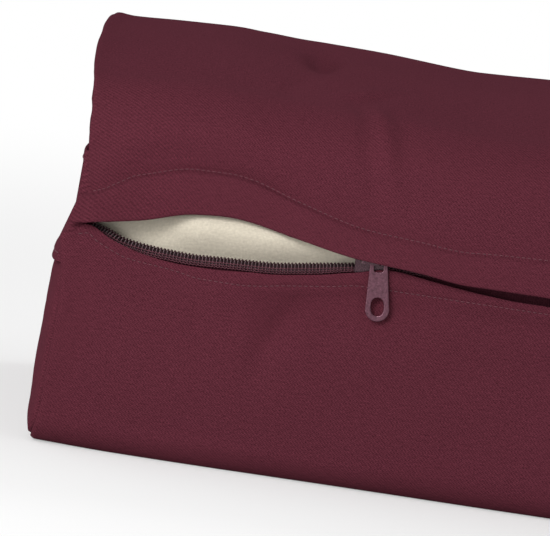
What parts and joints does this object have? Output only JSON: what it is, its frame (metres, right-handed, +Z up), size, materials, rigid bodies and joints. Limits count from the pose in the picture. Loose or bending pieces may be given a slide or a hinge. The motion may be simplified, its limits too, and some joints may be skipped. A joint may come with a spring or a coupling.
{
  "type": "yoga bolster",
  "caption": "Firm rectangular yoga bolster: a zipped cotton cover with a strap handle at each end over a cotton-filled inner cushion.",
  "frame": {"origin": "on the floor under the middle of the bolster, the bottom centre of its bounding box", "axes": "+X along the bolster, from the open end of the zip to the closed end; the zip side faces -Y; +Z up"},
  "size_m": [0.6649, 0.3, 0.152],
  "materials": {
    "twill": "matt burgundy cotton twill",
    "strap": "matt burgundy webbing",
    "tape": "woven burgundy polyester",
    "nylon": "dark nylon monofilament",
    "painted": "semi-gloss mauve-burgundy paint",
    "stop": "semi-gloss burgundy paint",
    "calico": "unbleached cotton",
    "cotton": "cotton batting"
  },
  "bodies": {
    "cover": {"cover_body": "twill", "cover_end_left": "twill", "cover_end_right": "twill", "handle_left": "strap", "handle_right": "strap", "zip_tape_lower": "tape", "zip_tape_upper": "tape", "zip_coil_lower": "nylon", "zip_coil_upper": "nylon", "zip_top_stop_lower": "stop", "zip_top_stop_upper": "stop", "zip_bottom_stop": "stop", "liner_body": "calico", "liner_end_left": "calico", "liner_end_right": "calico", "batt_1": "cotton", "batt_2": "cotton", "batt_3": "cotton", "batt_4": "cotton", "batt_5": "cotton"},
    "slider": {"zip_slider_body": "painted"},
    "pull_tab": {"zip_pull_tab": "painted"}
  },
  "joints": [
    {"name": "zip_slide", "type": "slide", "parent": "cover", "child": "slider", "axis": [1, 0, 0], "range_m": [-0.0985, 0.5077], "deforming": ["zip_coil_lower", "zip_coil_upper", "zip_tape_lower", "zip_tape_upper"]},
    {"name": "pull_tab_swing", "type": "hinge", "parent": "slider", "child": "pull_tab", "pos_m": [-0.205, -0.1446, 0.0873], "axis": [0, 1, 0], "range_deg": [-50, 45]}
  ]
}
